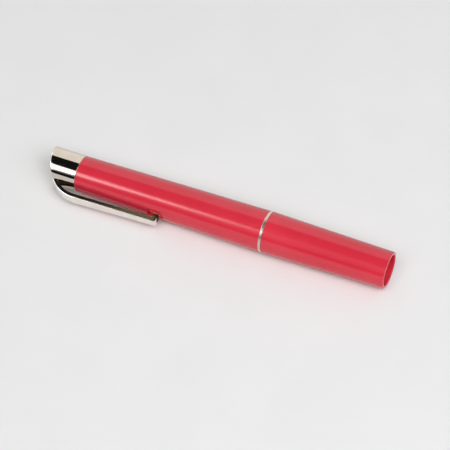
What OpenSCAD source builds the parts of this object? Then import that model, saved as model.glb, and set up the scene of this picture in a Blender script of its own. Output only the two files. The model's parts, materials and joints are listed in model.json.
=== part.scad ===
// Pocket penlight with a press-down clip switch, a screw-off head and two AAA cells.
// The pen lies along X: nose mouth at the origin facing +X, tail towards -X.
// Every piece is drawn with the clip along +Y, then the whole pen is rolled into its lying pose.

/* [Cells] */
// Outside diameter of one cell
cell_d = 10.5; // [9.5:0.1:14]
// Length of one cell over both contacts
cell_len = 44.5; // [36:0.5:56]
// Thickness of the printed jacket round a cell
jacket_t = 0.1; // [0.08:0.01:0.3]
// Diameter of a cell's positive nub
nub_d = 3.8; // [2:0.1:5]
// Height of a cell's positive nub above its shoulder
nub_h = 1.0; // [0.6:0.1:1.6]
// Diameter of a cell's flat negative plate
plate_d = 7.6; // [5:0.1:9]
// Thickness of a cell's end plates and washer
plate_t = 0.4; // [0.2:0.05:0.6]
// Diameter of the plate that carries a cell's nub
shoulder_d = 6.1; // [5:0.1:8]

/* [Barrel] */
// Wall of the barrel at its tail end
tail_wall = 1.3; // [0.9:0.05:2]
// Small chamfer on outside edges
edge_break = 0.15; // [0.05:0.05:0.3]
// Length of the spigot that the tail cap is pressed on
spigot_len = 6; // [4:0.1:7]

/* [Trim ring and thread] */
// Width of the bright ring between barrel and head
ring_w = 1.0; // [0.6:0.1:2]
// Thinnest wall of the threaded sleeve
sleeve_wall = 0.35; // [0.3:0.05:0.8]
// Length of the sleeve that is pressed into the barrel
sleeve_seat_len = 8; // [5:0.5:12]
// Pitch of the round head thread
thread_pitch = 2.0; // [1.5:0.1:3]
// Turns of the head thread
thread_turns = 3; // [2:1:4]
// Half the depth of the head thread
thread_wave = 0.25; // [0.15:0.05:0.3]

/* [Head] */
// Length of the head from ring to mouth
head_len = 45.8; // [43:0.1:56]
// Wall of the head round the lamp socket
head_wall = 0.8; // [0.5:0.05:1.2]
// Diameter of the bore in the mouth
mouth_d = 11.2; // [10.5:0.1:14]
// Depth of the bore in the mouth
mouth_depth = 5.3; // [3:0.1:7]
// Wall of the head at its mouth
mouth_wall = 1.15; // [0.6:0.05:2]

/* [Lamp] */
// Length of the lamp from solder tip to lens
lamp_len = 23.5; // [22:0.5:26]
// Diameter of the lamp's glass
glass_d = 9.4; // [8.6:0.1:10]
// Wall of the lamp's glass
glass_wall = 0.5; // [0.3:0.05:0.8]
// Mean diameter of the lamp's round screw shell
lamp_screw_d = 9.0; // [8.4:0.1:9.6]
// Pitch of the lamp's screw
lamp_pitch = 1.8; // [1.4:0.1:2.2]
// Turns of the lamp's screw
lamp_turns = 4; // [3:1:4]
// Half the depth of the lamp's screw
lamp_wave = 0.25; // [0.15:0.05:0.3]
// Thickness of the lamp's rolled shell
shell_t = 0.3; // [0.2:0.05:0.4]
// Length of the glass neck inside the lamp's shell
glass_neck_len = 4.3; // [2:0.1:5]
// Diameter of the lamp's solder tip
solder_d = 3.6; // [2:0.1:5]
// Height of the lamp's solder tip
solder_h = 0.7; // [0.4:0.1:1]
// Height of the black insulator under the lamp's shell
insulator_h = 1.5; // [1:0.1:2.5]
// Thinnest wall of the lamp socket
socket_wall = 0.3; // [0.25:0.05:0.6]
// Thickness of the socket's plain tube, shoulder and web
socket_t = 0.6; // [0.4:0.1:1]
// Diameter of the two lead wires
lead_d = 0.4; // [0.3:0.05:0.6]
// Distance between the two lead wires
lead_gap = 2.4; // [1.6:0.1:3]
// Thickness of the glass stem that holds the leads
stem_t = 2.5; // [1.5:0.1:4]
// Distance from lens tip back to the filament
filament_back = 5; // [4:0.1:7]
// Diameter of the filament's coil
filament_d = 0.3; // [0.2:0.05:0.5]

/* [Tail cap and spring] */
// Step by which the cap stands proud of the barrel
cap_step = 0.1; // [0.05:0.01:0.2]
// Wall of the cap round the spigot
cap_wall = 0.5; // [0.4:0.05:0.6]
// Depth of the cap from rim to flat floor
cap_depth = 7.5; // [7.2:0.1:10]
// Metal left between floor and curved end on the clip side
corner_wall = 1.4; // [0.6:0.05:2]
// Tilt of the cap's flat end face
end_tilt = 12; // [5:1:20]
// Installed length of the tail spring
spring_len = 8.5; // [7:0.1:10]
// Mean diameter of the tail spring
spring_d = 6.4; // [5:0.1:7]
// Wire diameter of the tail spring
spring_wire = 0.6; // [0.4:0.05:0.8]
// Turns of the tail spring
spring_turns = 4.5; // [3:0.5:5]

/* [Pocket clip] */
// Angle by which the clip hangs below the horizontal as the pen lies
clip_droop = 14.5; // [0:0.5:30]
// Gap between barrel and clip at the tail
clip_gap = 3.0; // [2.5:0.05:6]
// Depth of the clip's side flanges
clip_depth = 1.6; // [1.2:0.1:2]
// Width of the clip at its bend
clip_w = 4.6; // [4:0.1:7]
// Width of the clip at its tip
clip_tip_w = 3.5; // [3:0.1:5]
// Sheet thickness of the clip
clip_sheet = 0.45; // [0.3:0.05:0.6]
// Outside radius of the bend from cap end to arm
bend_r = 12.5; // [10:0.1:16]
// Slope of the arm towards the barrel
clip_slope = 1.5; // [0.5:0.1:2]
// Distance from the barrel's tail edge to the clip's tip
clip_reach = 33.9; // [26:0.1:45]
// Height of the clip's flexing line above the side of the cap
flex_rise = 0.2; // [0.15:0.05:1]
// Length of the solid root at the flexing line
root_len = 1.2; // [0.8:0.1:3]
// Rounding of the arm's end over the tip
tip_round = 0.9; // [0.4:0.1:1.2]
// Width of the contact nose under the tip
nose_w = 2.0; // [1.5:0.1:2.8]
// Thickness of the contact nose along the pen
nose_t = 2.2; // [1.2:0.1:3]
// Chamfer round the end of the contact nose
nose_chamfer = 0.5; // [0.2:0.1:0.6]
// Travel of the contact nose when the clip is pressed
press_travel = 1.1; // [0.8:0.05:1.4]

/* [Contact strip and notch] */
// Width of the brass strip in the barrel wall
strip_w = 3.0; // [2:0.1:3.5]
// Thickness of the brass strip
strip_t = 0.3; // [0.2:0.05:0.35]
// Length of the strip behind the notch
strip_lap = 2; // [1:0.1:4]
// Width of the notch under the clip's tip at its wide end behind the nose
notch_w = 4.6; // [4:0.1:5.5]
// Room in the notch behind the nose
notch_room = 2.65; // [1.5:0.05:4]
// Run of the notch's pointed end beyond the nose
notch_run = 1.3; // [0.4:0.1:6]
// Clearance beside and ahead of the nose in the notch
notch_side = 0.3; // [0.2:0.05:0.6]

/* [Fits] */
// Radial clearance of the cells in their bore
cell_clear = 0.2; // [0.15:0.01:0.4]
// Radial clearance between the head threads
thread_clear = 0.2; // [0.15:0.01:0.3]
// Clearance of pieces that are seated in one another
seat_clear = 0.05; // [0.02:0.01:0.1]
// Clearance of the lamp in socket and head
lamp_clear = 0.15; // [0.12:0.01:0.3]
// Clearance at contacts that only press when used
touch_clear = 0.05; // [0.02:0.01:0.1]
// Gap at the clip's flexing line
flex_clear = 0.12; // [0.1:0.01:0.2]

/* [Hidden] */
lathe_fn = 96;
wire_fn = 24;
thread_sides = 24;
lamp_sides = 20;
screw_rows = 8;
bend_steps = 16;
coil_sides = 6;
coil_steps = 16;
cut = 1;
tangent_step = 0.02;

// Radii worked outwards from the cell
cell_r = cell_d / 2;
bore_r = cell_r + cell_clear;
thread_r = bore_r + sleeve_wall + thread_wave;
sleeve_r = thread_r + thread_wave + touch_clear;
socket_thread_r = thread_r + thread_clear;
socket_r = socket_thread_r + thread_wave + socket_wall;
head_bore_r = socket_r + seat_clear;
plain_in_r = bore_r + touch_clear;
ring_r = head_bore_r + head_wall;
sleeve_seat_r = sleeve_r + seat_clear;
tail_r = bore_r + tail_wall;
mouth_r = mouth_d / 2;
nose_r = mouth_r + mouth_wall;
cap_r = tail_r + cap_step;
cap_bore_r = cap_r - cap_wall;
spigot_r = cap_bore_r - seat_clear;
span = 4 * ring_r;

// Stations along the pen, from the mouth back to the tail
lens_x = -mouth_depth - lamp_clear;
solder_x = lens_x - lamp_len;
front_cell_x = solder_x - touch_clear - cell_len;
rear_cell_x = front_cell_x - cell_len;
floor_x = rear_cell_x - touch_clear - spring_len;
tail_x = floor_x + cap_depth;
ring_x = -head_len - ring_w;
head_x = -head_len + touch_clear;
sleeve_x = ring_x - sleeve_seat_len;
thread_len = thread_pitch * thread_turns;
thread_x = -head_len;

// Lamp and socket stations
insulator_x = solder_x + solder_h;
shell_x = insulator_x + insulator_h;
lamp_thread_len = lamp_pitch * lamp_turns;
glass_x = shell_x + lamp_thread_len + seat_clear;
lamp_r = lamp_screw_d / 2;
shell_in_r = lamp_r - lamp_wave - shell_t;
neck_in_r = lamp_r + lamp_clear;
neck_r = neck_in_r + lamp_wave + socket_wall;
neck_bore_r = neck_r + seat_clear;
plain_r = max(plain_in_r + socket_t, neck_r + touch_clear);
plain_bore_r = plain_r + seat_clear;
glass_r = glass_d / 2;
glass_bore_r = glass_r + lamp_clear;
glass_neck_r = shell_in_r - lamp_clear;
stem_r = glass_neck_r - glass_wall - seat_clear;
stem_x = glass_x - stem_t;
filament_x = lens_x - filament_back;
solder_r = solder_d / 2;
web_x = shell_x - socket_t;
cup_x = head_x + touch_clear;
plain_x = cup_x + thread_len;
shoulder_x = plain_x + socket_t;

// Clip and notch geometry, in the plane of pen axis and clip
arm_r = tail_r + clip_gap + clip_depth;
bend_y = arm_r - bend_r;
bend_x = floor_x - corner_wall + sqrt(pow(bend_r, 2) - pow(cap_bore_r - bend_y, 2));
end_x = bend_x - bend_r;
mid_r = bend_r - clip_depth / 2;
flex_angle = asin((cap_r + flex_rise - bend_y) / (bend_r - clip_depth));
flex_half = flex_clear / 2 / mid_r * 180 / PI;
root_angle = root_len / mid_r * 180 / PI;
stub_angle = end_tilt + 5;
arm_end_angle = 90 + clip_slope;
tip_x = tail_x + clip_reach;
strip_y = bore_r + touch_clear;
groove_y = strip_y + strip_t + touch_clear;
nose_y = strip_y + strip_t + press_travel + touch_clear * 2;
notch_x = tip_x - nose_t - notch_room;
nose_room_x = tip_x + notch_side;
notch_end_x = nose_room_x + notch_run;
strip_x = notch_x - strip_lap;
notch_floor_y = strip_y + strip_t - touch_clear;

// Radius of the tapered barrel at a station
function barrel_r(x) = tail_r + (ring_r - tail_r) * (x - tail_x) / (ring_x - tail_x);

// Colours as seen
red_plastic = [0.84, 0.16, 0.24];
nickel = [0.80, 0.77, 0.72];
brass = [0.80, 0.62, 0.30];
steel = [0.70, 0.71, 0.72];
black_glass = [0.05, 0.05, 0.06];
clear_glass = [0.85, 0.90, 0.92];
jacket_grey = [0.30, 0.33, 0.38];

// Turns an outline of [radius, station] points about the pen's axis
module lathe(points) {
    rotate([0, 90, 0]) rotate_extrude($fn = lathe_fn) polygon(points);
}

// Plain tube from station x0 to station x1
module tube(x0, x1, r_out, r_in) {
    lathe([[r_in, x0], [r_out, x0], [r_out, x1], [r_in, x1]]);
}

// Plain disc from station x0 to station x1
module disc(x0, x1, r) {
    translate([x0, 0, 0]) rotate([0, 90, 0]) cylinder(h = x1 - x0, r = r, $fn = lathe_fn);
}

// Rolls the pen so that the clip, drawn along +Y, hangs towards -Y
module roll() {
    rotate([180 + clip_droop, 0, 0]) children();
}

// Ring of points round the pen, on a wall that waves in and out with a right-hand screw
function wave_ring(x, r, wave, pitch, sides) = [for (i = [0 : sides - 1])
    let (a = 360 * i / sides, w = r + wave * cos(a - 360 * x / pitch))
    [x, w * cos(a), w * sin(a)]];

// Rings of one wall of a screwed tube; a plain wall needs only its two end rings
function wall_rings(x0, length, r, wave, pitch, sides, rows) = [for (j = [0 : rows])
    each wave_ring(x0 + length * j / rows, r, wave, pitch, sides)];

// Triangles of one wall, whose first point has the index base
function wall_faces(base, sides, rows, outside) = [for (j = [0 : rows - 1], i = [0 : sides - 1])
    let (a = base + j * sides + i, b = base + j * sides + (i + 1) % sides, c = a + sides, d = b + sides)
    each outside ? [[a, c, b], [b, c, d]] : [[a, b, c], [b, d, c]]];

// Tube with a round screw on its outer wall, its inner wall or both, in phase with its mate
module screw_tube(x0, length, pitch, sides, r_out, wave_out, r_in, wave_in) {
    rows = round(length / pitch * screw_rows);
    rows_out = wave_out > 0 ? rows : 1;
    rows_in = wave_in > 0 ? rows : 1;
    base = sides * (rows_out + 1);
    far_out = sides * rows_out;
    far_in = base + sides * rows_in;
    near_end = [for (i = [0 : sides - 1]) let (k = (i + 1) % sides) [i, k, base + k, base + i]];
    far_end = [for (i = [0 : sides - 1]) let (k = (i + 1) % sides)
        [far_in + i, far_in + k, far_out + k, far_out + i]];
    polyhedron(
        points = concat(wall_rings(x0, length, r_out, wave_out, pitch, sides, rows_out),
            wall_rings(x0, length, r_in, wave_in, pitch, sides, rows_in)),
        faces = concat(wall_faces(0, sides, rows_out, true), wall_faces(base, sides, rows_in, false),
            near_end, far_end));
}

// Points round the clip's bend, a depth under its outer face, in the plane of pen and clip
function bend_points(depth, from, to) = [for (i = [0 : bend_steps])
    let (a = from + (to - from) * i / bend_steps)
    [bend_x, bend_y] + (bend_r - depth) * [-cos(a), sin(a)]];

// Point of the straight arm at a station, a depth under its outer face
function arm_point(depth, x) = let (start = bend_points(depth, arm_end_angle, arm_end_angle)[0])
    [x, start[1] - (x - start[0]) * tan(clip_slope)];

// Side view of the bend and the arm between two depths, from an angle of the bend to a station
module strip_profile(top, bottom, from, x) {
    polygon(concat(bend_points(top, from, arm_end_angle), [arm_point(top, x), arm_point(bottom, x)],
        bend_points(bottom, arm_end_angle, from)));
}

// Centres an extrusion of a profile across the clip's width
module across(width) {
    translate([0, 0, -width / 2]) linear_extrude(height = width) children();
}

// Plan of the clip, tapering from bend to tip, drawn in by an inset on each side
module clip_plan(inset) {
    wide = clip_w / 2 - inset;
    slim = clip_tip_w / 2 - inset;
    rotate([90, 0, 0])
        translate([0, 0, -span])
            linear_extrude(height = span)
                polygon([[end_x, -wide], [bend_x, -wide], [tip_x + cut, -slim],
                    [tip_x + cut, slim], [bend_x, wide], [end_x, wide]]);
}

module barrel() {
    color(red_plastic) roll() difference() {
        lathe([[bore_r, tail_x - spigot_len], [spigot_r, tail_x - spigot_len], [spigot_r, tail_x],
            [tail_r - edge_break, tail_x], [tail_r, tail_x + edge_break],
            [ring_r, ring_x - edge_break], [ring_r - edge_break, ring_x],
            [sleeve_seat_r, ring_x], [sleeve_seat_r, sleeve_x], [bore_r, sleeve_x]]);
        strip_groove();
        tip_notch();
    }
}

// Groove for the brass strip along the inside of the barrel
module strip_groove() {
    groove_w = strip_w + 2 * touch_clear;
    translate([strip_x - touch_clear, 0, -groove_w / 2])
        cube([sleeve_x - strip_x + 2 * touch_clear, groove_y, groove_w]);
}

// Notch under the clip's tip: a pocket down to the strip, wide behind the nose and pointed ahead of it
module tip_notch() {
    wide = notch_w / 2;
    slim = nose_w / 2 + notch_side;
    point = notch_side / 2;
    rotate([90, 0, 0])
        translate([0, 0, -span])
            linear_extrude(height = span - notch_floor_y)
                polygon([[notch_x, -wide], [nose_room_x, -slim], [notch_end_x, -point],
                    [notch_end_x, point], [nose_room_x, slim], [notch_x, wide]]);
}

// Cup with a flat floor, whose end is rounded over into the root of the clip
module tail_cap() {
    color(nickel) roll() difference() {
        intersection() {
            union() {
                disc(tail_x - span, tail_x, cap_r);
                across(clip_w) polygon(concat(bend_points(-cut, stub_angle, flex_angle - flex_half),
                    bend_points(clip_depth, flex_angle - flex_half, stub_angle)));
            }
            across(span) cap_end_profile();
        }
        disc(floor_x, tail_x + cut, cap_bore_r);
    }
}

// Side view of the cap's end: a tilted plane that runs over into the outside of the bend
module cap_end_profile() {
    translate([bend_x, bend_y]) {
        circle(r = bend_r, $fn = lathe_fn);
        rotate(-end_tilt) translate([tangent_step - bend_r, -span]) square([2 * bend_r, span]);
    }
}

// Pressed channel: bend and arm with side flanges, and a nose that dips into the notch
module pocket_clip() {
    color(nickel) roll() intersection() {
        difference() {
            union() {
                across(clip_w) strip_profile(0, clip_depth, flex_angle + flex_half, tip_x - tip_round);
                across(nose_w) tip_profile();
            }
            clip_hollow();
        }
        clip_plan(0);
    }
}

// Inside of the clip's channel, open towards the barrel
module clip_hollow() {
    intersection() {
        across(clip_w)
            strip_profile(clip_sheet, clip_depth + cut, flex_angle + root_angle, tip_x - 2 * nose_t);
        clip_plan(clip_sheet);
    }
}

// Side view of the tip: a rounded-over end with the contact nose below it
module tip_profile() {
    top_y = arm_point(0, tip_x)[1];
    polygon([[tip_x - 2 * nose_t, top_y], [tip_x - tip_round, top_y], [tip_x, top_y - tip_round],
        [tip_x, nose_y + nose_chamfer], [tip_x - nose_chamfer, nose_y],
        [tip_x - nose_t + nose_chamfer, nose_y], [tip_x - nose_t, nose_y + nose_chamfer],
        [tip_x - nose_t, top_y - clip_depth], [tip_x - 2 * nose_t, top_y - clip_depth]]);
}

module contact_strip() {
    color(brass) roll()
        translate([strip_x, strip_y, -strip_w / 2])
            cube([sleeve_x - strip_x, strip_t, strip_w]);
}

// Point of a wire helix that runs along the pen, and a ring of points round the wire there
function helix_point(x0, len, r, a, turns) = [x0 + len * a / (360 * turns), r * cos(a), r * sin(a)];
function wire_ring(c, r, wire, a, climb) = let (
        out = [0, cos(a), sin(a)],
        along = [climb, -sin(a) * r, cos(a) * r] / norm([climb, r]),
        side = cross(along, out))
    [for (i = [0 : coil_sides - 1]) let (b = 360 * i / coil_sides)
        c + wire / 2 * (cos(b) * out + sin(b) * side)];

// One unbroken wire coil with hexagonal section
module wire_coil(x0, x1, r, wire, turns) {
    steps = round(turns * coil_steps);
    len = x1 - x0;
    climb = len / (2 * PI * turns);
    angles = [for (i = [0 : steps]) 360 * turns * i / steps];
    rings = [for (a = angles) each wire_ring(helix_point(x0, len, r, a, turns), r, wire, a, climb)];
    far = coil_sides * steps;
    near_end = [for (i = [1 : coil_sides - 2]) [0, i, i + 1]];
    far_end = [for (i = [1 : coil_sides - 2]) [far, far + i + 1, far + i]];
    gap = norm(helix_point(x0, len, r, 360, turns) - helix_point(x0, len, r, 0, turns)) - wire;
    echo("least gap between turns", gap);
    polyhedron(points = rings, faces = concat(wall_faces(0, coil_sides, steps, true), near_end, far_end));
}

module tail_spring() {
    end = spring_wire / 2 + touch_clear;
    color(steel) wire_coil(floor_x + end, rear_cell_x - end, spring_d / 2, spring_wire, spring_turns);
}

// Brass sleeve pressed into the barrel, with the male thread that carries the head
module thread_sleeve() {
    color(brass) {
        tube(sleeve_x, thread_x, sleeve_r, bore_r);
        screw_tube(thread_x, thread_len, thread_pitch, thread_sides,
            thread_r, thread_wave, (bore_r + touch_clear) / cos(180 / thread_sides), 0);
    }
}

module trim_ring() {
    color(nickel)
        lathe([[sleeve_seat_r, ring_x], [ring_r - edge_break, ring_x], [ring_r, ring_x + edge_break],
            [ring_r, ring_x + ring_w - edge_break], [ring_r - edge_break, ring_x + ring_w],
            [sleeve_seat_r, ring_x + ring_w]]);
}

module head() {
    neck_end_x = glass_x + touch_clear;
    color(red_plastic)
        lathe([[head_bore_r, head_x], [ring_r - edge_break, head_x], [ring_r, head_x + edge_break],
            [nose_r, -edge_break], [nose_r - edge_break, 0], [mouth_r, 0], [mouth_r, -mouth_depth],
            [glass_bore_r, -mouth_depth], [glass_bore_r, neck_end_x], [neck_bore_r, neck_end_x],
            [neck_bore_r, shell_x + seat_clear], [plain_bore_r, shell_x + seat_clear],
            [plain_bore_r, shoulder_x + seat_clear], [head_bore_r, shoulder_x + seat_clear]]);
}

// Brass cup pressed into the head: female head thread behind, plain tube, female lamp thread in its neck
module lamp_socket() {
    color(brass) {
        screw_tube(cup_x, thread_len, thread_pitch, thread_sides,
            socket_r - seat_clear, 0, socket_thread_r, thread_wave);
        lathe([[plain_in_r, plain_x], [socket_r, plain_x], [socket_r, shoulder_x], [plain_r, shoulder_x],
            [plain_r, shell_x], [shell_in_r, shell_x], [shell_in_r, web_x], [plain_in_r, web_x]]);
        screw_tube(shell_x, lamp_thread_len, lamp_pitch, lamp_sides, neck_r, 0, neck_in_r, lamp_wave);
    }
}

// Rolled brass shell with the lamp's round thread
module lamp_shell() {
    color(brass)
        screw_tube(shell_x, lamp_thread_len, lamp_pitch, lamp_sides,
            lamp_r, lamp_wave, lamp_r - shell_t, lamp_wave);
}

module lamp_insulator() {
    color(black_glass)
        lathe([[0, insulator_x], [solder_r + edge_break, insulator_x], [shell_in_r, shell_x], [0, shell_x]]);
}

module lamp_solder_tip() {
    color(steel)
        lathe([[0, solder_x], [solder_r / 2, solder_x], [solder_r, insulator_x], [0, insulator_x]]);
}

// Glass bulb with a thick lens at its end, open at the neck
module lamp_glass() {
    dome_x = lens_x - glass_r;
    color(clear_glass) difference() {
        union() {
            disc(glass_x - glass_neck_len, glass_x + glass_wall, glass_neck_r);
            disc(glass_x, dome_x, glass_r);
            intersection() {
                translate([dome_x, 0, 0]) sphere(r = glass_r, $fn = lathe_fn);
                disc(dome_x, lens_x + cut, glass_r + cut);
            }
        }
        disc(glass_x - glass_neck_len - cut, glass_x + glass_wall, glass_neck_r - glass_wall);
        disc(glass_x + glass_wall, dome_x, glass_r - glass_wall);
    }
}

// One lead wire in place, larger by a clearance where it is cut out of the stem
module lead(side, clear) {
    translate([0, 0, side * lead_gap / 2])
        disc(stem_x - cut - clear, filament_x + lead_d / 2, lead_d / 2 + clear);
}

module lamp_stem() {
    color(clear_glass) difference() {
        disc(stem_x, glass_x, stem_r);
        lead(-1, touch_clear);
        lead(1, touch_clear);
    }
}

module lamp_lead(side) {
    color(steel) lead(side, 0);
}

module lamp_filament() {
    length = lead_gap - lead_d - touch_clear;
    color(steel)
        translate([filament_x, 0, -length / 2]) cylinder(h = length, r = filament_d / 2, $fn = wire_fn);
}

// Steel can of a cell whose negative end is at station x
module cell_can(x) {
    color(steel) disc(x + plate_t, x + cell_len - nub_h - plate_t, cell_r - jacket_t - seat_clear);
}

module cell_jacket(x) {
    color(jacket_grey) tube(x + plate_t, x + cell_len - nub_h - plate_t, cell_r, cell_r - jacket_t);
}

module cell_plate(x) {
    color(steel) disc(x, x + plate_t, plate_d / 2);
}

// Positive end plate with its raised nub
module cell_nub(x) {
    base_x = x + cell_len - nub_h - plate_t;
    color(steel)
        lathe([[0, base_x], [shoulder_d / 2, base_x], [shoulder_d / 2, base_x + plate_t],
            [nub_d / 2, base_x + plate_t], [nub_d / 2 - edge_break, x + cell_len], [0, x + cell_len]]);
}

// Insulating washer round the positive plate
module cell_washer(x) {
    base_x = x + cell_len - nub_h - plate_t;
    color(black_glass)
        tube(base_x, base_x + plate_t, cell_r - jacket_t - seat_clear, shoulder_d / 2 + seat_clear);
}

barrel();
tail_cap();
pocket_clip();
contact_strip();
tail_spring();
thread_sleeve();
trim_ring();
head();
lamp_socket();
lamp_shell();
lamp_insulator();
lamp_solder_tip();
lamp_glass();
lamp_stem();
lamp_lead(-1);  // lamp_left_lead
lamp_lead(1);  // lamp_right_lead
lamp_filament();
cell_can(rear_cell_x);  // rear_cell_can
cell_jacket(rear_cell_x);  // rear_cell_jacket
cell_plate(rear_cell_x);  // rear_cell_plate
cell_nub(rear_cell_x);  // rear_cell_nub
cell_washer(rear_cell_x);  // rear_cell_washer
cell_can(front_cell_x);  // front_cell_can
cell_jacket(front_cell_x);  // front_cell_jacket
cell_plate(front_cell_x);  // front_cell_plate
cell_nub(front_cell_x);  // front_cell_nub
cell_washer(front_cell_x);  // front_cell_washer
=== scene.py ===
"""Pocket penlight lying on a pale table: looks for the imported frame."""

import json
import math

import bmesh
import bpy
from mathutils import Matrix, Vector


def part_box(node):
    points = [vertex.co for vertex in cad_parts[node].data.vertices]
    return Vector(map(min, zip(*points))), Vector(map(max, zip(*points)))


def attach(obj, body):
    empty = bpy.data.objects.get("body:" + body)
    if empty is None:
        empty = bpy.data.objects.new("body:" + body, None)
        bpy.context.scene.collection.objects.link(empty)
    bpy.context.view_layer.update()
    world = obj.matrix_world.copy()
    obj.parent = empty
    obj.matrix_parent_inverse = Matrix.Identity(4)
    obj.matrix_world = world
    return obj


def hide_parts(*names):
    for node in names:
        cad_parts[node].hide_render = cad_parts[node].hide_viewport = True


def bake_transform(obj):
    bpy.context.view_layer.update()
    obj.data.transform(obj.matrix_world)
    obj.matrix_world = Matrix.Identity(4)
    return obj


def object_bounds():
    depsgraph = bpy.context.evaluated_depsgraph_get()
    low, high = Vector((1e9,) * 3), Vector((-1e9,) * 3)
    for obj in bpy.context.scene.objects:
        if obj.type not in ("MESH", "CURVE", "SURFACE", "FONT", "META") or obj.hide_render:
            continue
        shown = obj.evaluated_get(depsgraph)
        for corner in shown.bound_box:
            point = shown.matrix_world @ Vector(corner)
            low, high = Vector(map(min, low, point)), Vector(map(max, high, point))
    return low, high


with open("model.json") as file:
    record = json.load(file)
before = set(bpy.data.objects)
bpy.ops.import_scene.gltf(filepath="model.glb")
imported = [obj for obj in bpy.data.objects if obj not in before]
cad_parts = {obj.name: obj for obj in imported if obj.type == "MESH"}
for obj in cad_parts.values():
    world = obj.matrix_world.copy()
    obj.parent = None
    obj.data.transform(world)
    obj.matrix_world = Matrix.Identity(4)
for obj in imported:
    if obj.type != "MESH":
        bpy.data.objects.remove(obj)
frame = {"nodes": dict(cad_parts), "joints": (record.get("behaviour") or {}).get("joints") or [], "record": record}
cad_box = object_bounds()

MM = 0.001

# Head, in millimetres, as in the construction
NOSE_R = 6.75
MOUTH_R = 5.6
MOUTH_DEPTH = 5.3
GLASS_BORE_R = 4.85
NECK_BORE_R = 5.25
NECK_END_GAP = 0.1
PLAIN_BORE_R = 6.15
PLAIN_END_GAP = 0.05
HEAD_BORE_R = 6.85
HEAD_BORE_LEN = 6.7

# Barrel, its notch and its groove, in millimetres
TAIL_R = 6.75
SPIGOT_R = 6.3
BORE_R = 5.45
SLEEVE_SEAT_R = 6.4
SLEEVE_SEAT_LEN = 8.0
NOTCH_W = 4.6
NOTCH_ROOM = 2.65
NOTCH_RUN = 1.3
NOTCH_SIDE = 0.3
NOTCH_FLOOR_R = 5.75
STRIP_W = 3.1
STRIP_TOP_R = 5.85
STRIP_LAP = 2.05
GROOVE_RUN_OUT = 0.05

# Rounded edges of barrel, ring and head, in millimetres
EDGE_ROUND = 0.18
RING_ROUND = 0.15
SPIGOT_ROUND = 0.1
TAIL_ROUND = 0.3
NOSE_EDGE_ROUND = 0.35
MOUTH_EDGE_ROUND = 0.3
MOUTH_SEAT_ROUND = 0.1

# Tail cap, in millimetres, with the shares of a rounding as (along, inwards)
CAP_R = 6.85
CAP_BORE_R = 6.35
CAP_DEPTH = 7.5
CAP_FLOOR_R = CAP_BORE_R / 2
CAP_FLOOR_ROUND = 0.3
CAP_FLOOR_SHARES = ((0, 1), (1 / 3, 1 / 3), (1, 0))
CAP_BORE_BREAK = 0.05
CAP_RIM_ROUND = 0.2
CAP_RIM_SHARES = ((0, 1), (0.1, 0.5), (0.5, 0.1), (1, 0))
CAP_RIM_GUARD = 0.26
CAP_EDGE = 0.35
BEND_R = 12.5
END_TILT = math.radians(12)

# Pocket clip and the nose under its tip, in millimetres
ARM_TOP_R = 11.35
ARM_SLOPE = math.radians(1.5)
CLIP_W = 4.6
CLIP_TIP_W = 3.5
CLIP_DEPTH = 1.6
CLIP_SHEET = 0.45
CLIP_CORNER = 0.36
CLIP_INNER_ROUND = 0.1
CLIP_LIP = 0.08
CLIP_GUARD = 0.05
ROOT_DEG = 34
ROOT_SUNK = 0.06
ROOT_SUNK_STEPS = 6
TIP_ROUND = 0.9
TIP_TURN_DEG = 82
TIP_NARROWING = 0.5
NOSE_W = 2.0
NOSE_T = 2.2
NOSE_END_R = 7.0
NOSE_ROUND = 0.6
NOSE_FRONT_ROUND = 0.2
# Sections of the nose: share of its half width, and how far its outline is drawn in there
NOSE_SECTIONS = ((1, 0.22), (0.93, 0.07), (0.8, 0))

# Threaded sleeve, spring and filament, in millimetres
THREAD_PITCH = 2.0
THREAD_WAVE = 0.25
THREAD_R = 6.05
SLEEVE_R = 6.35
SLEEVE_BREAK = 0.1
WIRE_R = 0.3
COIL_R = 3.2
COIL_TURNS = 4.5
FILAMENT_WIRE_R = 0.035
FILAMENT_R = 0.11
FILAMENT_TURNS = 9

# Shading of the meshes: edges sharper than this stay sharp
SHARP_DEG = 35
CAP_SHARP_DEG = 50
NOSE_SHARP_DEG = 60
THREAD_SHARP_DEG = 40
# A mesh corner is on the barrel's taper if it is this near to it, in millimetres, and its face looks
# outwards by more than this cosine
TAPER_NEAR = 0.01
TAPER_FACING = 0.9


# Stations along the pen, in millimetres, read from the frame
def span(node):
    low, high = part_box(node)
    return low.x / MM, high.x / MM


RING_X0, RING_X1 = span("trim_ring")
RING_R = (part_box("trim_ring")[1].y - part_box("trim_ring")[0].y) / 2 / MM
SPIGOT_X = span("barrel")[0]
TAIL_X = span("tail_cap")[1]
HEAD_X0, HEAD_X1 = span("head")
TIP_X = span("pocket_clip")[1]
SLEEVE_X0, SLEEVE_X1 = span("thread_sleeve")
SPRING_X0, SPRING_X1 = span("tail_spring")
FLOOR_X = TAIL_X - CAP_DEPTH

# Place of the clip round the pen, from the joint that it turns on
PRESS = next(j for j in frame["joints"] if j["name"] == "clip_press")
DROOP = math.atan2(-PRESS["axis"][1], PRESS["axis"][2])
FLEX_X = PRESS["pos_m"][0] / MM
FLEX_Y = math.hypot(PRESS["pos_m"][1], PRESS["pos_m"][2]) / MM
BEND_Y = ARM_TOP_R - BEND_R
BEND_MID_R = BEND_R - CLIP_DEPTH / 2
BEND_X = FLEX_X + math.sqrt(BEND_MID_R ** 2 - (FLEX_Y - BEND_Y) ** 2)


def place(x, y, z):
    """A point given along the pen, towards the clip and across it, in the frame's metres."""
    c, s = math.cos(DROOP), math.sin(DROOP)
    return Vector((x, z * s - y * c, -y * s - z * c)) * MM


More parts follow.
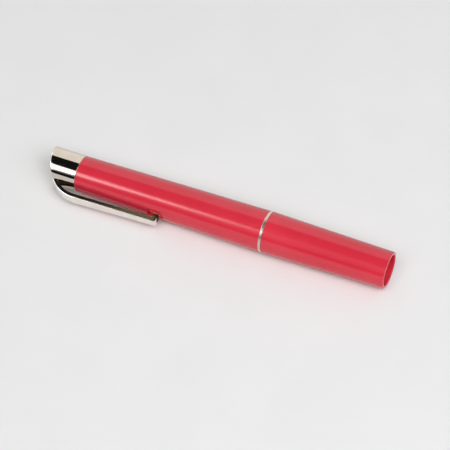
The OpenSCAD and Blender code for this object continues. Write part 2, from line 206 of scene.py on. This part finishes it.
# Mesh helpers
def finish_mesh(name, vertices, faces, sharp_deg=SHARP_DEG):
    """A smooth shaded object of these points and faces, with its normals pointing outwards."""
    mesh = bpy.data.meshes.new(name)
    mesh.from_pydata(vertices, [], faces)
    form = bmesh.new()
    form.from_mesh(mesh)
    bmesh.ops.recalc_face_normals(form, faces=form.faces)
    form.to_mesh(mesh)
    form.free()
    mesh.shade_smooth()
    mesh.set_sharp_from_angle(angle=math.radians(sharp_deg))
    piece = bpy.data.objects.new(name, mesh)
    bpy.context.scene.collection.objects.link(piece)
    return piece


def rounded(corners, steps=6, guard=1.25, most=0.4):
    """A closed outline whose corners (x, r, radius) are rounded, as a list of (x, r).

    A rounding takes at most a share of the sides beside it. A guard point just beyond each end of it
    keeps the gloss of the flats flat.
    """
    outline = []
    for i, (x, r, radius) in enumerate(corners):
        here = Vector((x, r))
        before = Vector(corners[i - 1][:2]) - here
        after = Vector(corners[(i + 1) % len(corners)][:2]) - here
        reach = min(radius, most * before.length, most * after.length)
        if reach <= 0:
            outline.append((x, r))
            continue
        a = before.normalized() * reach
        b = after.normalized() * reach
        curve = [a * (1 - k / steps) ** 2 + b * (k / steps) ** 2 for k in range(steps + 1)]
        outline += [(here + p).to_tuple() for p in [a * guard, *curve, b * guard]]
    return outline


def divided(outline, x0, x1, count, slack=1.0):
    """The outline with extra points on its long edges that run between two stations."""
    result = []
    for i, (x, r) in enumerate(outline):
        nx, nr = outline[(i + 1) % len(outline)]
        result.append((x, r))
        if min(x, nx) <= x0 + slack and max(x, nx) >= x1 - slack:
            result += [(x + (nx - x) * k / count, r + (nr - r) * k / count) for k in range(1, count)]
    return result


def lathe(name, outline, sides=192):
    """A closed outline of (x, r) turned about the pen's axis."""
    count = len(outline)
    vertices = []
    for s in range(sides):
        a = 2 * math.pi * s / sides
        vertices += [place(x, r * math.cos(a), r * math.sin(a)) for x, r in outline]
    faces = []
    for s in range(sides):
        here, there = s * count, (s + 1) % sides * count
        for i in range(count):
            j = (i + 1) % count
            faces.append((here + i, here + j, there + j, there + i))
    return finish_mesh(name, vertices, faces)


def sweep(name, rings, sharp_deg=SHARP_DEG):
    """Closed loops of equal length joined one to the next, with both ends capped."""
    count = len(rings[0])
    vertices = [p for ring in rings for p in ring]
    faces = [tuple(range(count)), tuple(range(len(vertices) - count, len(vertices)))]
    for k in range(len(rings) - 1):
        for i in range(count):
            j = (i + 1) % count
            faces.append((k * count + i, k * count + j, (k + 1) * count + j, (k + 1) * count + i))
    return finish_mesh(name, vertices, faces, sharp_deg)


def cut(piece, *cutters):
    """The piece with the cutters taken out of it, as its final mesh."""
    for cutter in cutters:
        step = piece.modifiers.new("cut", "BOOLEAN")
        step.operation = "DIFFERENCE"
        step.solver = "EXACT"
        step.object = cutter
    shown = piece.evaluated_get(bpy.context.evaluated_depsgraph_get())
    mesh = bpy.data.meshes.new_from_object(shown)
    piece.modifiers.clear()
    piece.data = mesh
    for cutter in cutters:
        bpy.data.objects.remove(cutter)
    return piece


def prism(name, outline, width):
    """An outline of (x, y) in the plane of pen and clip, drawn out across the clip."""
    return sweep(name, [[place(x, y, side * width / 2) for x, y in outline] for side in (-1, 1)])


# Materials
def new_material(name):
    material = bpy.data.materials.new(name)
    material.use_nodes = True
    tree = material.node_tree
    shader = tree.nodes["Principled BSDF"]
    place_node = tree.nodes.new("ShaderNodeTexCoord")
    return material, tree, shader, place_node.outputs["Object"]


def noise(tree, coordinates, scale, detail=4.0, stretch=(1, 1, 1)):
    mapping = tree.nodes.new("ShaderNodeMapping")
    mapping.inputs["Scale"].default_value = stretch
    tree.links.new(coordinates, mapping.inputs["Vector"])
    texture = tree.nodes.new("ShaderNodeTexNoise")
    texture.inputs["Scale"].default_value = scale
    texture.inputs["Detail"].default_value = detail
    tree.links.new(mapping.outputs["Vector"], texture.inputs["Vector"])
    return texture.outputs["Fac"]


def ramp(tree, value, low, high, start=0.3, end=0.7):
    node = tree.nodes.new("ShaderNodeValToRGB")
    node.color_ramp.elements[0].position = start
    node.color_ramp.elements[0].color = (*low, 1)
    node.color_ramp.elements[1].position = end
    node.color_ramp.elements[1].color = (*high, 1)
    tree.links.new(value, node.inputs["Fac"])
    return node.outputs["Color"]


def between(tree, value, low, high):
    node = tree.nodes.new("ShaderNodeMapRange")
    node.inputs["To Min"].default_value = low
    node.inputs["To Max"].default_value = high
    tree.links.new(value, node.inputs["Value"])
    return node.outputs["Result"]


def bump(tree, shader, height, strength, distance):
    node = tree.nodes.new("ShaderNodeBump")
    node.inputs["Strength"].default_value = strength
    node.inputs["Distance"].default_value = distance
    tree.links.new(height, node.inputs["Height"])
    tree.links.new(node.outputs["Normal"], shader.inputs["Normal"])


def plastic(name, low, high, gloss=(0.10, 0.16)):
    """Glossy moulded plastic: slightly uneven colour, fine flow lines along the pen, soft orange peel."""
    material, tree, shader, at = new_material(name)
    tree.links.new(ramp(tree, noise(tree, at, 60), low, high), shader.inputs["Base Color"])
    lines = noise(tree, at, 900, 3, (0.04, 1, 1))
    tree.links.new(between(tree, lines, *gloss), shader.inputs["Roughness"])
    shader.inputs["IOR"].default_value = 1.5
    bump(tree, shader, noise(tree, at, 700, 2), strength=0.03, distance=0.0002)
    return material


def metal(name, low, high, gloss, grain=(1, 1, 1), relief=0.02):
    """Bright metal: faint tarnish in its colour and fine polishing marks in its gloss."""
    material, tree, shader, at = new_material(name)
    tree.links.new(ramp(tree, noise(tree, at, 180), low, high), shader.inputs["Base Color"])
    marks = noise(tree, at, 1600, 5, grain)
    tree.links.new(between(tree, marks, *gloss), shader.inputs["Roughness"])
    shader.inputs["Metallic"].default_value = 1.0
    bump(tree, shader, marks, strength=relief, distance=0.0001)
    return material


def glass(name):
    """Clear blown glass with slight waviness."""
    material, tree, shader, at = new_material(name)
    waves = noise(tree, at, 250, 2)
    tint = ramp(tree, waves, (0.93, 0.96, 0.96), (0.98, 0.99, 0.99))
    tree.links.new(tint, shader.inputs["Base Color"])
    tree.links.new(between(tree, waves, 0.0, 0.03), shader.inputs["Roughness"])
    shader.inputs["IOR"].default_value = 1.5
    shader.inputs["Transmission Weight"].default_value = 1.0
    bump(tree, shader, waves, strength=0.05, distance=0.0002)
    return material


def paper(name):
    """Plain pale paper without gloss."""
    material, tree, shader, at = new_material(name)
    tint = ramp(tree, noise(tree, at, 40), (0.80, 0.80, 0.80), (0.82, 0.82, 0.82))
    tree.links.new(tint, shader.inputs["Base Color"])
    shader.inputs["Roughness"].default_value = 0.9
    shader.inputs["Specular IOR Level"].default_value = 0.2
    return material


RED = plastic("red_plastic", (0.60, 0.024, 0.046), (0.66, 0.032, 0.056))
NICKEL = metal("nickel", (0.64, 0.58, 0.50), (0.69, 0.63, 0.56), (0.04, 0.09))
# Painted light: a brighter copy of the cap's nickel for the clip, so that its outer face mirrors the shaded floor
# brighter than it is lit
LIT_CLIP_NICKEL = metal("lit_clip_nickel", (0.82, 0.77, 0.71), (0.88, 0.84, 0.79), (0.05, 0.10))
# Painted shade: nickel darkened far below bare nickel, for the clip's inside faces and its nose, where the clip's
# own shade falls
SHADE_DARKENED_NICKEL = metal("shade_darkened_nickel", (0.085, 0.068, 0.045), (0.13, 0.11, 0.08), (0.35, 0.5))
SATIN_NICKEL = metal("satin_nickel", (0.64, 0.53, 0.46), (0.72, 0.61, 0.54), (0.28, 0.36), (1, 0.05, 0.05))
BRASS = metal("brass", (0.60, 0.41, 0.15), (0.74, 0.54, 0.24), (0.18, 0.30), (0.2, 1, 1), 0.05)
STEEL = metal("spring_steel", (0.50, 0.51, 0.53), (0.62, 0.63, 0.64), (0.15, 0.28))
PLATED = metal("cell_steel", (0.66, 0.66, 0.65), (0.76, 0.76, 0.74), (0.14, 0.24))
TUNGSTEN = metal("tungsten", (0.28, 0.28, 0.29), (0.36, 0.36, 0.37), (0.3, 0.4))
CAN = metal("cell_can", (0.52, 0.53, 0.54), (0.62, 0.62, 0.63), (0.2, 0.3), (0.1, 1, 1), 0.05)
BLACK = plastic("black_insulation", (0.02, 0.02, 0.022), (0.035, 0.035, 0.04), (0.4, 0.6))
JACKET = plastic("cell_jacket", (0.10, 0.12, 0.15), (0.14, 0.16, 0.20), (0.2, 0.3))
GLASS = glass("lamp_glass")
PAPER = paper("pale_paper")

MATERIAL_OF_SLOT = {
    "red_plastic": RED, "nickel": NICKEL, "brass": BRASS, "spring_steel": STEEL, "lamp_glass": GLASS,
    "black_insulation": BLACK, "cell_jacket": JACKET, "cell_filling": CAN, "cell_steel": PLATED,
    "tungsten": TUNGSTEN,
}
SLOT_OF_NODE = {part["node"]: part["material_slot"] for part in frame["record"]["subparts"]}


def stand_for(piece, node, body, material=None):
    """The piece replaces a node of the frame, rides on its body, and takes its slot's material or its own."""
    slot = SLOT_OF_NODE[node]
    piece.data.materials.append(material or MATERIAL_OF_SLOT[slot])
    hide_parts(node)
    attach(piece, body)


for node, piece in frame["nodes"].items():
    piece.data.materials.clear()
    piece.data.materials.append(MATERIAL_OF_SLOT[SLOT_OF_NODE[node]])


# Barrel: tapered tube with the notch under the clip's tip and the groove for the contact strip
def barrel_r(x):
    """Radius of the barrel's outside at a station."""
    return TAIL_R + (RING_R - TAIL_R) * (x - TAIL_X) / (RING_X0 - TAIL_X)


def make_notch_cutter(notch_x):
    """A pocket that is wide behind the clip's nose and runs to a point ahead of it."""
    nose_room_x = TIP_X + NOTCH_SIDE
    half_plan = [(notch_x, NOTCH_W / 2), (nose_room_x, NOSE_W / 2 + NOTCH_SIDE),
                 (nose_room_x + NOTCH_RUN, NOTCH_SIDE / 2)]
    plan = half_plan + [(x, -z) for x, z in reversed(half_plan)]
    levels = (NOTCH_FLOOR_R, 2 * RING_R)
    return sweep("notch_cutter", [[place(x, y, z) for x, z in plan] for y in levels])


def make_barrel(taper_rings=72):
    seat_x = RING_X0 - SLEEVE_SEAT_LEN
    outline = rounded([
        (SPIGOT_X, BORE_R, 0), (SPIGOT_X, SPIGOT_R, SPIGOT_ROUND), (TAIL_X, SPIGOT_R, 0),
        (TAIL_X, TAIL_R, TAIL_ROUND), (RING_X0, RING_R, EDGE_ROUND), (RING_X0, SLEEVE_SEAT_R, 0),
        (seat_x, SLEEVE_SEAT_R, 0), (seat_x, BORE_R, 0)])
    tube = lathe("barrel_tube", divided(outline, TAIL_X, RING_X0, taper_rings))
    notch_x = TIP_X - NOSE_T - NOTCH_ROOM
    notch = make_notch_cutter(notch_x)
    groove_x = notch_x - STRIP_LAP
    groove_end = seat_x + GROOVE_RUN_OUT
    groove = prism("groove_cutter", [
        (groove_x, 0), (groove_end, 0), (groove_end, STRIP_TOP_R), (groove_x, STRIP_TOP_R)], STRIP_W)
    return true_taper(cut(tube, notch, groove))


def true_taper(tube):
    """Gives the tapered outside its own smooth normals, so that the cuts leave no dents in the gloss."""
    mesh = tube.data
    mesh.shade_smooth()
    mesh.set_sharp_from_angle(angle=math.radians(SHARP_DEG))
    slope = math.atan2(RING_R - TAIL_R, RING_X0 - TAIL_X)
    normals = [Vector((0, 0, 0))] * len(mesh.loops)
    for face in mesh.polygons:
        for i in face.loop_indices:
            p = mesh.vertices[mesh.loops[i].vertex_index].co / MM
            out = Vector((0, p.y, p.z)).normalized()
            between_edges = TAIL_X + TAIL_ROUND < p.x < RING_X0 - EDGE_ROUND
            on_taper = abs(math.hypot(p.y, p.z) - barrel_r(p.x)) < TAPER_NEAR
            if between_edges and on_taper and face.normal.dot(out) > TAPER_FACING:
                normals[i] = Vector((-math.sin(slope), 0, 0)) + out * math.cos(slope)
    mesh.normals_split_custom_set(normals)
    return tube


stand_for(make_barrel(), "barrel", "barrel")


# Head, with its stepped bore behind the open mouth
def make_head(taper_rings=24):
    seat_x = HEAD_X1 - MOUTH_DEPTH
    neck_end_x = span("lamp_socket")[1] + NECK_END_GAP
    plain_end_x = span("lamp_shell")[0] + PLAIN_END_GAP
    shoulder_x = HEAD_X0 + HEAD_BORE_LEN
    outline = rounded([
        (HEAD_X0, HEAD_BORE_R, 0), (HEAD_X0, RING_R, EDGE_ROUND), (HEAD_X1, NOSE_R, NOSE_EDGE_ROUND),
        (HEAD_X1, MOUTH_R, MOUTH_EDGE_ROUND), (seat_x, MOUTH_R, MOUTH_SEAT_ROUND),
        (seat_x, GLASS_BORE_R, MOUTH_SEAT_ROUND), (neck_end_x, GLASS_BORE_R, 0),
        (neck_end_x, NECK_BORE_R, 0), (plain_end_x, NECK_BORE_R, 0), (plain_end_x, PLAIN_BORE_R, 0),
        (shoulder_x, PLAIN_BORE_R, 0), (shoulder_x, HEAD_BORE_R, 0)])
    return lathe("head_shell", divided(outline, HEAD_X0, HEAD_X1, taper_rings))


stand_for(make_head(), "head", "head")


# Bright ring between barrel and head
def make_ring():
    return lathe("ring_band", rounded([
        (RING_X0, SLEEVE_SEAT_R, 0), (RING_X0, RING_R, RING_ROUND),
        (RING_X1, RING_R, RING_ROUND), (RING_X1, SLEEVE_SEAT_R, 0)]))


stand_for(make_ring(), "trim_ring", "barrel", SATIN_NICKEL)


# Tail cap: cup whose tilted end runs over into the bend of the clip
def end_x(y):
    """Station of the cap's end at a height towards the clip."""
    touch = BEND_Y + BEND_R * math.sin(END_TILT)
    if y > touch:
        return BEND_X - math.sqrt(BEND_R ** 2 - (y - BEND_Y) ** 2)
    return BEND_X - BEND_R * math.cos(END_TILT) - (touch - y) * math.tan(END_TILT)


def cup_line():
    """The inside of the cup and its rim, from the floor to the outer wall, as a list of (x, r)."""
    line = [(FLOOR_X, CAP_FLOOR_R)]
    line += [(FLOOR_X + CAP_FLOOR_ROUND * along, CAP_BORE_R - CAP_FLOOR_ROUND * inwards)
             for along, inwards in CAP_FLOOR_SHARES]
    line += [(TAIL_X - CAP_BORE_BREAK, CAP_BORE_R), (TAIL_X, CAP_BORE_R + CAP_BORE_BREAK)]
    line += [(TAIL_X - CAP_RIM_ROUND * along, CAP_R - CAP_RIM_ROUND * inwards)
             for along, inwards in CAP_RIM_SHARES]
    return line + [(TAIL_X - CAP_RIM_GUARD, CAP_R)]


def make_cap(sides=192, wall_rings=8, edge_steps=8, end_rings=28):
    columns = []
    for s in range(sides):
        a = 2 * math.pi * s / sides
        ca, sa = math.cos(a), math.sin(a)
        corner = Vector((end_x(CAP_R * ca), CAP_R))
        wall = corner + Vector((CAP_EDGE, 0))
        face = Vector((end_x((CAP_R - CAP_EDGE) * ca), CAP_R - CAP_EDGE))
        line = cup_line()
        rim_x = line[-1][0]
        line += [(rim_x + (wall.x - rim_x) * k / wall_rings, CAP_R) for k in range(1, wall_rings)]
        for k in range(edge_steps + 1):
            t = k / edge_steps
            p = wall * (1 - t) ** 2 + corner * 2 * t * (1 - t) + face * t ** 2
            line.append((p.x, p.y))
        for k in range(1, end_rings):
            r = (CAP_R - CAP_EDGE) * (1 - k / end_rings)
            line.append((end_x(r * ca), r))
        columns.append([place(x, r * ca, r * sa) for x, r in line])
    count = len(columns[0])
    vertices = [p for column in columns for p in column] + [place(FLOOR_X, 0, 0), place(end_x(0), 0, 0)]
    floor_centre, end_centre = len(vertices) - 2, len(vertices) - 1
    faces = []
    for s in range(sides):
        a, b = s * count, (s + 1) % sides * count
        faces += [(a + i, a + i + 1, b + i + 1, b + i) for i in range(count - 1)]
        faces += [(floor_centre, a, b), (end_centre, b + count - 1, a + count - 1)]
    return finish_mesh("cap_cup", vertices, faces, CAP_SHARP_DEG)


stand_for(make_cap(), "tail_cap", "barrel")


# Pocket clip: channel with rounded edges, run from inside the cap round the bend to the tip
def channel_turns(steps=8):
    return [math.pi / 2 * k / steps for k in range(steps + 1)]


def channel(half):
    """Section of the clip as (across, depth below the outer face), once round."""
    turn = channel_turns()
    outside = [(half - CLIP_SHEET, CLIP_DEPTH), (half - CLIP_LIP, CLIP_DEPTH), (half, CLIP_DEPTH - CLIP_LIP),
               (half, CLIP_DEPTH - CLIP_LIP - CLIP_GUARD), (half, CLIP_CORNER + CLIP_GUARD)]
    outside += [(half - CLIP_CORNER * (1 - math.cos(a)), CLIP_CORNER * (1 - math.sin(a))) for a in turn]
    outside += [(half - CLIP_CORNER - CLIP_GUARD, 0)]
    inside = [(half - CLIP_SHEET - CLIP_INNER_ROUND * (1 - math.sin(a)),
               CLIP_SHEET + CLIP_INNER_ROUND * (1 - math.cos(a))) for a in turn]
    return (outside + [(0, 0)] + [(-z, d) for z, d in reversed(outside)]
            + [(-z, d) for z, d in reversed(inside)] + inside)


def clip_half(x):
    """Half the clip's width at a station: full at the bend, slim at the tip."""
    share = min(max((x - BEND_X) / (TIP_X - BEND_X), 0), 1)
    return (CLIP_W + (CLIP_TIP_W - CLIP_W) * share) / 2


def arm_start():
    """Station where the bend runs over into the straight arm."""
    return BEND_X + BEND_R * math.sin(ARM_SLOPE)


def arm_y(x):
    """Height of the arm's outer face at a station."""
    return BEND_Y + BEND_R * math.cos(ARM_SLOPE) - (x - arm_start()) * math.tan(ARM_SLOPE)


def bend_rings(steps):
    """Loops round the bend, sunk a little where the clip leaves the cap."""
    rings = []
    last_deg = 90 + math.degrees(ARM_SLOPE)
    for k in range(steps + 1):
        a = math.radians(ROOT_DEG + (last_deg - ROOT_DEG) * k / steps)
        r = BEND_R - ROOT_SUNK * max(1 - k / ROOT_SUNK_STEPS, 0)
        rings.append([place(BEND_X - (r - d) * math.cos(a), BEND_Y + (r - d) * math.sin(a), z)
                      for z, d in channel(CLIP_W / 2)])
    return rings


def arm_rings(round_x, steps):
    """Loops along the straight arm, after the last one of the bend."""
    rings = []
    for k in range(1, steps + 1):
        x = arm_start() + (round_x - arm_start()) * k / steps
        rings.append([place(x, arm_y(x) - d, z) for z, d in channel(clip_half(x))])
    return rings


def tip_rings(round_x, steps):
    """Loops over the rounded tip, each lower, shallower and slimmer than the last."""
    rings = []
    for k in range(1, steps + 1):
        a = math.radians(TIP_TURN_DEG * k / steps)
        x = round_x + TIP_ROUND * math.sin(a)
        drop = TIP_ROUND * (1 - math.cos(a))
        shallow = 1 - drop / CLIP_DEPTH
        rings.append([place(x, arm_y(round_x) - drop - d * shallow, z)
                      for z, d in channel(clip_half(x) - TIP_NARROWING * drop)])
    return rings


def make_clip(bend_steps=40, arm_steps=24, tip_steps=8):
    round_x = TIP_X - TIP_ROUND
    rings = bend_rings(bend_steps) + arm_rings(round_x, arm_steps) + tip_rings(round_x, tip_steps)
    strip = sweep("clip_strip", rings)
    strip.data.materials.append(LIT_CLIP_NICKEL)
    strip.data.materials.append(SHADE_DARKENED_NICKEL)
    count = len(rings[0])
    # The faces inside the channel take the darkened nickel: painted shade
    hidden_side = count - 2 * len(channel_turns()) - 1
    end_faces = 2
    for face in strip.data.polygons[end_faces:]:
        if (face.index - end_faces) % count >= hidden_side:
            face.material_index = 1
    return strip


def make_clip_nose():
    """Contact nose under the tip: a rounded tongue that dips into the notch."""
    top = arm_y(TIP_X) - CLIP_DEPTH / 2
    outline = rounded([
        (TIP_X - NOSE_T, top, 0), (TIP_X - NOSE_T, NOSE_END_R, NOSE_ROUND),
        (TIP_X, NOSE_END_R, NOSE_ROUND), (TIP_X, top, NOSE_FRONT_ROUND)])
    centre_x, centre_y = TIP_X - NOSE_T / 2, (top + NOSE_END_R) / 2
    rings = []
    for share, inset in [(-share, inset) for share, inset in NOSE_SECTIONS] + [*reversed(NOSE_SECTIONS)]:
        shrink_x, shrink_y = 1 - 2 * inset / NOSE_T, 1 - 2 * inset / (top - NOSE_END_R)
        rings.append([place(centre_x + (x - centre_x) * shrink_x, centre_y + (y - centre_y) * shrink_y,
                            share * NOSE_W / 2) for x, y in outline])
    return sweep("clip_nose", rings, NOSE_SHARP_DEG)


clip = make_clip()
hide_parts("pocket_clip")
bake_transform(clip)
clip_nose = make_clip_nose()
# The nose takes the darkened nickel: painted shade under the clip's tip
clip_nose.data.materials.append(SHADE_DARKENED_NICKEL)
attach(clip_nose, "clip")


# Threaded sleeve that shows when the head is unscrewed
def wave_ring(x, r, wave, sides):
    """A loop round the pen at a station, whose radius follows the thread's round wave."""
    loop = []
    for s in range(sides):
        a = 2 * math.pi * s / sides
        here_r = r + wave * math.cos(a - 2 * math.pi * x / THREAD_PITCH)
        loop.append(Vector((x, here_r * math.cos(a), here_r * math.sin(a))) * MM)
    return loop


def make_sleeve(sides=96, rows_per_turn=16):
    thread_x = RING_X1
    turns = (SLEEVE_X1 - thread_x) / THREAD_PITCH
    steps = round(turns * rows_per_turn)
    plain = [(SLEEVE_X0, BORE_R), (SLEEVE_X0, SLEEVE_R - SLEEVE_BREAK), (SLEEVE_X0 + SLEEVE_BREAK, SLEEVE_R),
             (thread_x, SLEEVE_R)]
    rings = [wave_ring(x, r, 0, sides) for x, r in plain]
    rings += [wave_ring(thread_x + (SLEEVE_X1 - thread_x) * k / steps, THREAD_R, THREAD_WAVE, sides)
              for k in range(steps + 1)]
    rings += [wave_ring(SLEEVE_X1, BORE_R, 0, sides)]
    count = len(rings)
    vertices = [p for ring in rings for p in ring]
    faces = []
    for k in range(count):
        a, b = k * sides, (k + 1) % count * sides
        faces += [(a + i, a + (i + 1) % sides, b + (i + 1) % sides, b + i) for i in range(sides)]
    return finish_mesh("sleeve_thread", vertices, faces, THREAD_SHARP_DEG)


stand_for(make_sleeve(), "thread_sleeve", "barrel")


# Wire coils: the tail spring, and the filament in the lamp
def coil(name, x0, x1, coil_r, wire_r, turns, axis_point, along, across, steps=40, sides=12):
    """Round wire wound about an axis through a point, between two places along it."""
    up = along.cross(across)
    climb = (x1 - x0) / (2 * math.pi * turns * coil_r)
    rings = []
    count = round(turns * steps)
    for k in range(count + 1):
        a = 2 * math.pi * turns * k / count
        out = across * math.cos(a) + up * math.sin(a)
        tangent = (up * math.cos(a) - across * math.sin(a) + along * climb).normalized()
        side = tangent.cross(out)
        centre = axis_point + along * (x0 + (x1 - x0) * k / count) + out * coil_r
        rings.append([(centre + (out * math.cos(b) + side * math.sin(b)) * wire_r) * MM
                      for b in (2 * math.pi * i / sides for i in range(sides))])
    return sweep(name, rings)


def make_filament():
    low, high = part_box("lamp_filament")
    middle = (low + high) / 2 / MM
    reach = (high.z - low.z) / 2 / MM
    return coil("filament_coil", -reach, reach, FILAMENT_R, FILAMENT_WIRE_R, FILAMENT_TURNS,
                middle, Vector((0, 0, 1)), Vector((1, 0, 0)), steps=16, sides=6)


spring = coil("spring_coil", SPRING_X0 + WIRE_R, SPRING_X1 - WIRE_R, COIL_R, WIRE_R, COIL_TURNS,
              Vector((0, 0, 0)), Vector((1, 0, 0)), Vector((0, 1, 0)))
spring.data.materials.append(STEEL)
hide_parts("tail_spring")
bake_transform(spring)

stand_for(make_filament(), "lamp_filament", "head")

# Table
TABLE_HALF = 3.0
TABLE_Z = cad_box[0][2]
table_mesh = bpy.data.meshes.new("table")
table_mesh.from_pydata(
    [(x * TABLE_HALF, y * TABLE_HALF, TABLE_Z) for x, y in ((-1, -1), (1, -1), (1, 1), (-1, 1))],
    [], [(0, 1, 2, 3)])
table = bpy.data.objects.new("table", table_mesh)
bpy.context.scene.collection.objects.link(table)
table_mesh.materials.append(PAPER)

# Lamps and cards, in metres and degrees about the pen's middle
PEN_MIDDLE = Vector((-62, 0, 0)) * MM


def grey(level):
    return (level, level, level)


def softbox(name, azimuth_deg, elevation_deg, distance, wide, tall, radiance, lights=True, mirrors=True):
    """A rectangular lamp that faces the pen: azimuth 0 is the clip's side, 90 the head's end, 180 behind."""
    lamp = bpy.data.lights.new(name, "AREA")
    lamp.shape = "RECTANGLE"
    lamp.size = wide
    lamp.size_y = tall
    level = max(radiance)
    lamp.color = [value / level for value in radiance]
    lamp.energy = level * math.pi * wide * tall
    holder = bpy.data.objects.new(name, lamp)
    a, e = math.radians(azimuth_deg), math.radians(elevation_deg)
    towards = Vector((math.sin(a) * math.cos(e), -math.cos(a) * math.cos(e), math.sin(e)))
    holder.location = PEN_MIDDLE + towards * distance
    holder.rotation_euler = (PEN_MIDDLE - holder.location).to_track_quat("-Z", "Y").to_euler()
    holder.visible_camera = False
    holder.visible_diffuse = lights
    holder.visible_glossy = mirrors
    bpy.context.scene.collection.objects.link(holder)


def card(name, azimuth_deg, elevation_deg, distance, wide, tall, radiance):
    """A pale card that only shows as a reflection in gloss and metal."""
    softbox(name, azimuth_deg, elevation_deg, distance, wide, tall, radiance, lights=False)


# Light on table and pen: a wide lamp in front, a weak one overhead and one beside the mouth
softbox("front_softbox", 20, 54, 3.3, 3.6, 1.8, grey(4.7), mirrors=False)
softbox("top_softbox", 180, 66, 1.4, 2.6, 2.6, grey(0.42), mirrors=False)
softbox("right_softbox", 62, 40, 1.1, 0.9, 0.7, grey(2.2))

# The bright line along the barrel, which fades towards the ring
card("key_softbox", -42, 34, 1.2, 0.65, 0.30, grey(5.2))
card("key_fade_near", -22, 34, 1.2, 0.075, 0.30, grey(1.7))
card("key_fade_far", -18, 34, 1.2, 0.066, 0.30, grey(0.7))

# Bands in the cap, the clip, the ring and the gloss, the last one for the clip's side wall
card("key_card", -44, 32.4, 1.2, 0.75, 0.68, grey(1.6))
card("front_card", 10, 37, 1.3, 3.0, 0.8, grey(0.4))
card("line_card", -29, 62.9, 1.2, 0.12, 0.05, grey(1.3))
card("back_card", 180, 37, 1.0, 3.2, 1.53, (1.03, 1.0, 0.96))
card("left_card", -90, 35, 1.0, 1.2, 0.9, grey(1.5))
card("flange_card", -118, 71, 1.2, 0.25, 0.092, (0.14, 0.108, 0.048))

# Dim room
world = bpy.data.worlds.new("dim_room")
world.use_nodes = True
background = world.node_tree.nodes["Background"]
background.inputs["Color"].default_value = (0.9, 0.92, 1.0, 1)
background.inputs["Strength"].default_value = 0.01
bpy.context.scene.world = world

# Camera, fitted to the outlines of tail, ring and mouth
CAMERA_PLACE = Vector((132.72, -453.22, 529.4)) * MM
CAMERA_AIM = Vector((-61.25, -2.82, 0)) * MM
LENS_MM = 162.14
SENSOR_MM = 36
NEAREST_SEEN = 10 * MM
camera = bpy.data.cameras.new("camera")
camera.lens = LENS_MM
camera.sensor_width = SENSOR_MM
camera.clip_start = NEAREST_SEEN
viewer = bpy.data.objects.new("camera", camera)
viewer.location = CAMERA_PLACE
viewer.rotation_euler = (CAMERA_AIM - CAMERA_PLACE).to_track_quat("-Z", "Y").to_euler()
bpy.context.scene.collection.objects.link(viewer)
bpy.context.scene.camera = viewer
bpy.context.scene.view_settings.view_transform = "Standard"
